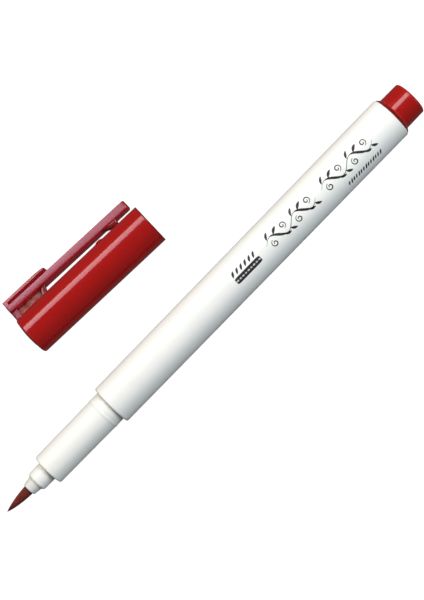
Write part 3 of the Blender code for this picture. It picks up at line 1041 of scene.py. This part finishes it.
def make_grips():
    """The ridge under the clip's free end and the bump on the cap in front of it."""

    def ridge_height(z, u, v):
        rise = math.sin(math.pi / 2 * min(1.0, u / RIDGE_CREST)) ** 1.7
        fall = max(0.0, (u - RIDGE_CREST) / (1.0 - RIDGE_CREST))
        swell = rise * math.sqrt(max(0.0, 1.0 - fall ** 3)) * math.sqrt(max(0.0, 1.0 - v ** 4))
        inner = along_clip(CLIP_INNER, z)
        return inner + 0.03 * MM - (inner - RIDGE_INNER) * swell, inner + 0.25 * MM

    def bump_height(z, u, v):
        across = GRIP_BUMP_HALF_WIDTH * v
        radius = CAP_CLOSED_R + (CAP_MOUTH_R - CAP_CLOSED_R) * z / CAP_LENGTH
        surface = math.sqrt(radius * radius - across * across)
        lift = math.sin(math.pi * u) ** 0.8 * math.sqrt(max(0.0, 1.0 - v * v))
        return surface - 0.02 * MM + GRIP_BUMP_RISE * lift, surface - 0.3 * MM

    blister("clip_ridge", *RIDGE, RIDGE_HALF_WIDTH, ridge_height, looks["painted_shade_clip"], "cap_clip")
    blister("cap_bump", *GRIP_BUMP, GRIP_BUMP_HALF_WIDTH, bump_height, looks["cap"], "cap")


def dress_inner_pieces():
    """The pieces inside keep their shape and get their own finish."""
    for node, look in (("inner_cap", "liner"), ("ink_reservoir", "reservoir"), ("reservoir_film", "film")):
        mesh = frame["nodes"][node].data
        mesh.materials.clear()
        mesh.materials.append(looks[look].material)


# ---------------------------------------------------------------- studio

# Radius and height along the floor's outline, in metres
SWEEP = ((0.0, 0.0), (0.3, 0.0), (1.2, 0.0), (2.4, 0.0), (2.9, 0.2), (3.2, 0.7), (3.3, 1.6))


def make_floor():
    """A pale sweep: flat under the object, turned up far away. Only the camera sees it."""
    shape = bmesh.new()
    rings = []
    around = 96
    for radius, height in SWEEP:
        ring = []
        for i in range(around if radius else 1):
            angle = math.tau * i / around
            ring.append(shape.verts.new((radius * math.cos(angle), radius * math.sin(angle), height)))
        rings.append(ring)
    ring_faces(shape, rings)
    for face in shape.faces:
        if face.normal.z < 0:
            face.normal_flip()
    mesh = bpy.data.meshes.new("studio_sweep")
    shape.to_mesh(mesh)
    shape.free()
    look = bpy.data.materials.new("studio_paper")
    look.use_nodes = True
    shader = look.node_tree.nodes["Principled BSDF"]
    shader.inputs["Base Color"].default_value = (0.2, 0.2, 0.2, 1.0)
    shader.inputs["Roughness"].default_value = 0.9
    shader.inputs["Specular IOR Level"].default_value = 0.0
    shader.inputs["Emission Color"].default_value = (1.0, 1.0, 1.0, 1.0)
    shader.inputs["Emission Strength"].default_value = 0.96
    mesh.materials.append(look)
    mesh.shade_smooth()
    floor = bpy.data.objects.new("studio_sweep", mesh)
    bpy.context.scene.collection.objects.link(floor)
    floor.visible_diffuse = False
    floor.visible_glossy = False
    floor.visible_transmission = False
    floor.visible_shadow = False


def softbox(name, target, tilt, distance, size, radiance, colour, diffuse=True, glossy=True):
    """A rectangular lamp that faces the target, tilted from straight above towards the cap's side.

    diffuse and glossy say whether it lights surfaces and whether it shows in their gloss.
    """
    light = bpy.data.lights.new(name, "AREA")
    light.shape = "RECTANGLE"
    light.size, light.size_y = size
    light.energy = math.pi * size[0] * size[1] * radiance
    light.color = colour
    lamp = bpy.data.objects.new(name, light)
    bpy.context.scene.collection.objects.link(lamp)
    back = Vector((0.0, math.sin(math.radians(tilt)), math.cos(math.radians(tilt))))
    lamp.location = Vector(target) + back * distance
    lamp.rotation_mode = "QUATERNION"
    lamp.rotation_quaternion = Matrix.Rotation(math.radians(-tilt), 3, "X").to_quaternion()
    lamp.visible_camera = False
    lamp.visible_diffuse = diffuse
    lamp.visible_glossy = glossy
    return lamp


def make_studio():
    scene = bpy.context.scene
    world = bpy.data.worlds.new("studio")
    scene.world = world
    world.use_nodes = True
    background = world.node_tree.nodes["Background"]
    background.inputs["Color"].default_value = (0.95, 1.0, 1.0, 1.0)
    background.inputs["Strength"].default_value = 0.12
    scene.view_settings.view_transform = "Standard"

    make_floor()
    pen_middle = PEN @ Vector((0.0, 0.0, PEN_LENGTH / 2))
    cap_middle = CAP @ Vector((0.0, 0.0, CAP_LENGTH / 2))
    plug_middle = PEN @ Vector((0.0, 0.0, (BARREL_END + PEN_LENGTH) / 2))
    beyond_tail = pen_middle + Vector((0.5, 0.0, 0.0))
    beyond_cap = cap_middle - Vector((25.0 * MM, 0.0, 0.0))
    beyond_plug = plug_middle + Vector((80.0 * MM, 0.0, 0.0))
    # Name, target, tilt in degrees, distance and size in metres, radiance, colour
    softbox("key_warm", pen_middle, 50.0, 0.8, (0.5, 0.35), 9.3, (1.0, 0.91, 0.80), glossy=False)
    softbox("key_cool", beyond_tail, 1.0, 0.8, (0.5, 0.35), 15.0, (0.93, 1.0, 1.04), glossy=False)
    softbox("fill", pen_middle, -112.0, 0.5, (0.9, 0.6), 0.18, (0.88, 1.0, 1.0), glossy=False)
    softbox("cap_gloss_warm", beyond_cap, 54.0, 0.5, (0.16, 0.10), 6.8, (1.0, 0.88, 0.78), diffuse=False)
    softbox("cap_gloss_cool", beyond_cap, 41.0, 0.5, (0.16, 0.12), 5.6, (0.94, 0.82, 1.0), diffuse=False)
    softbox("plug_gloss_warm", beyond_plug, 33.0, 0.5, (0.11, 0.11), 6.5, (1.0, 0.88, 0.76), diffuse=False)
    softbox("plug_gloss_cool", beyond_plug, 21.0, 0.5, (0.11, 0.11), 6.0, (0.94, 0.82, 1.0), diffuse=False)

    camera = bpy.data.objects.new("camera", bpy.data.cameras.new("camera"))
    scene.collection.objects.link(camera)
    camera.data.sensor_width = SENSOR
    camera.data.lens = SENSOR * CAMERA_HEIGHT / VIEW_HEIGHT
    camera.data.clip_start = 0.01
    camera.data.clip_end = 10.0
    camera.location = PEN @ Vector((AIM_BESIDE, CAMERA_HEIGHT, PEN_LENGTH / 2 + AIM_ALONG))
    camera.rotation_euler = (0.0, 0.0, CAMERA_TURN)
    scene.camera = camera


make_studio()
for white_piece in (make_barrel(), make_section()):
    white_piece.visible_glossy = False  # no band of it in the cap's gloss
make_holder()
make_nib()
make_plug()
make_ornament()
make_cap_tube()
make_clip_strip()
make_clip_root()
make_grips()
dress_inner_pieces()
